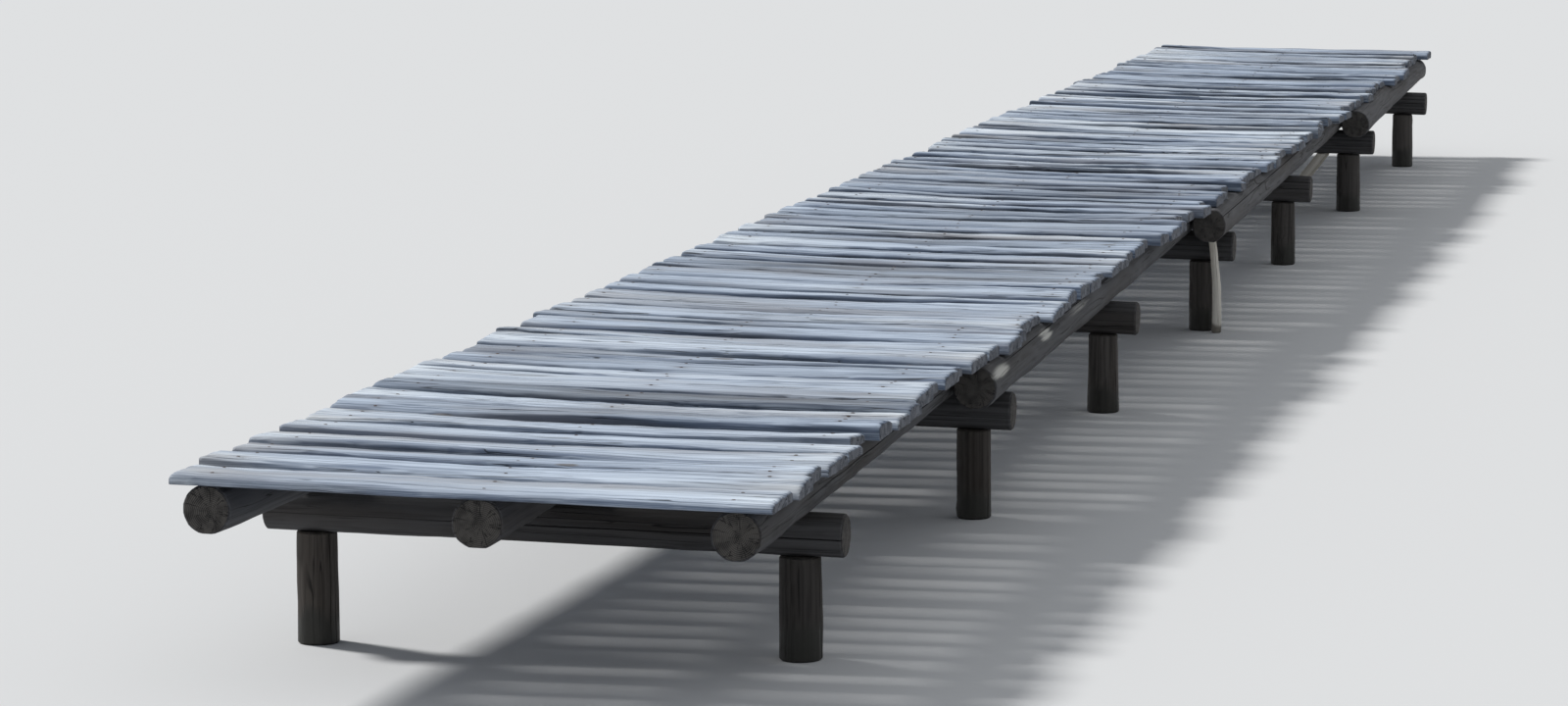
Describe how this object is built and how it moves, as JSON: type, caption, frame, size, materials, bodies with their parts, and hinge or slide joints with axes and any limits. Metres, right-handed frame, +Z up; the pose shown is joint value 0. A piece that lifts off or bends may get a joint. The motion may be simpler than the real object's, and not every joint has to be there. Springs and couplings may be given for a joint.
{
  "type": "wooden jetty",
  "caption": "Narrow straight jetty of weathered cross boards on lapped log stringers, log caps and round piles, open on all sides.",
  "frame": {"origin": "on the water plane, under the middle of the deck's length and width", "axes": "+Y along the deck away from the shore, +X to the right when facing +Y, +Z up"},
  "size_m": [1.9628, 19.3, 0.7156],
  "materials": {
    "deck_board": "silver-grey weathered rough-sawn board",
    "stringer_log": "dark weathered log with hewn faces",
    "cap_log": "dark weathered log with hewn faces",
    "pile_log": "damp dark round timber with drying checks",
    "peeled_pole": "pale peeled pole, dry"
  },
  "bodies": {
    "root": {"pile_left_1": "pile_log", "pile_left_2": "pile_log", "pile_left_3": "pile_log", "pile_left_4": "pile_log", "pile_left_5": "pile_log", "pile_left_6": "pile_log", "pile_left_7": "pile_log", "pile_right_1": "pile_log", "pile_right_2": "pile_log", "pile_right_3": "pile_log", "pile_right_4": "pile_log", "pile_right_5": "pile_log", "pile_right_6": "pile_log", "pile_right_7": "pile_log", "cap_1": "cap_log", "cap_2": "cap_log", "cap_3": "cap_log", "cap_4": "cap_log", "cap_5": "cap_log", "cap_6": "cap_log", "cap_7": "cap_log", "stringer_left_1": "stringer_log", "stringer_left_2": "stringer_log", "stringer_left_3": "stringer_log", "stringer_left_4": "stringer_log", "stringer_middle_1": "stringer_log", "stringer_middle_2": "stringer_log", "stringer_middle_3": "stringer_log", "stringer_middle_4": "stringer_log", "stringer_right_1": "stringer_log", "stringer_right_2": "stringer_log", "stringer_right_3": "stringer_log", "stringer_right_4": "stringer_log", "deck_1": "deck_board", "deck_2": "deck_board", "deck_3": "deck_board", "deck_4": "deck_board", "deck_5": "deck_board", "deck_6": "deck_board", "deck_7": "deck_board", "prop_pole": "peeled_pole", "rake_strut": "peeled_pole"}
  },
  "joints": []
}
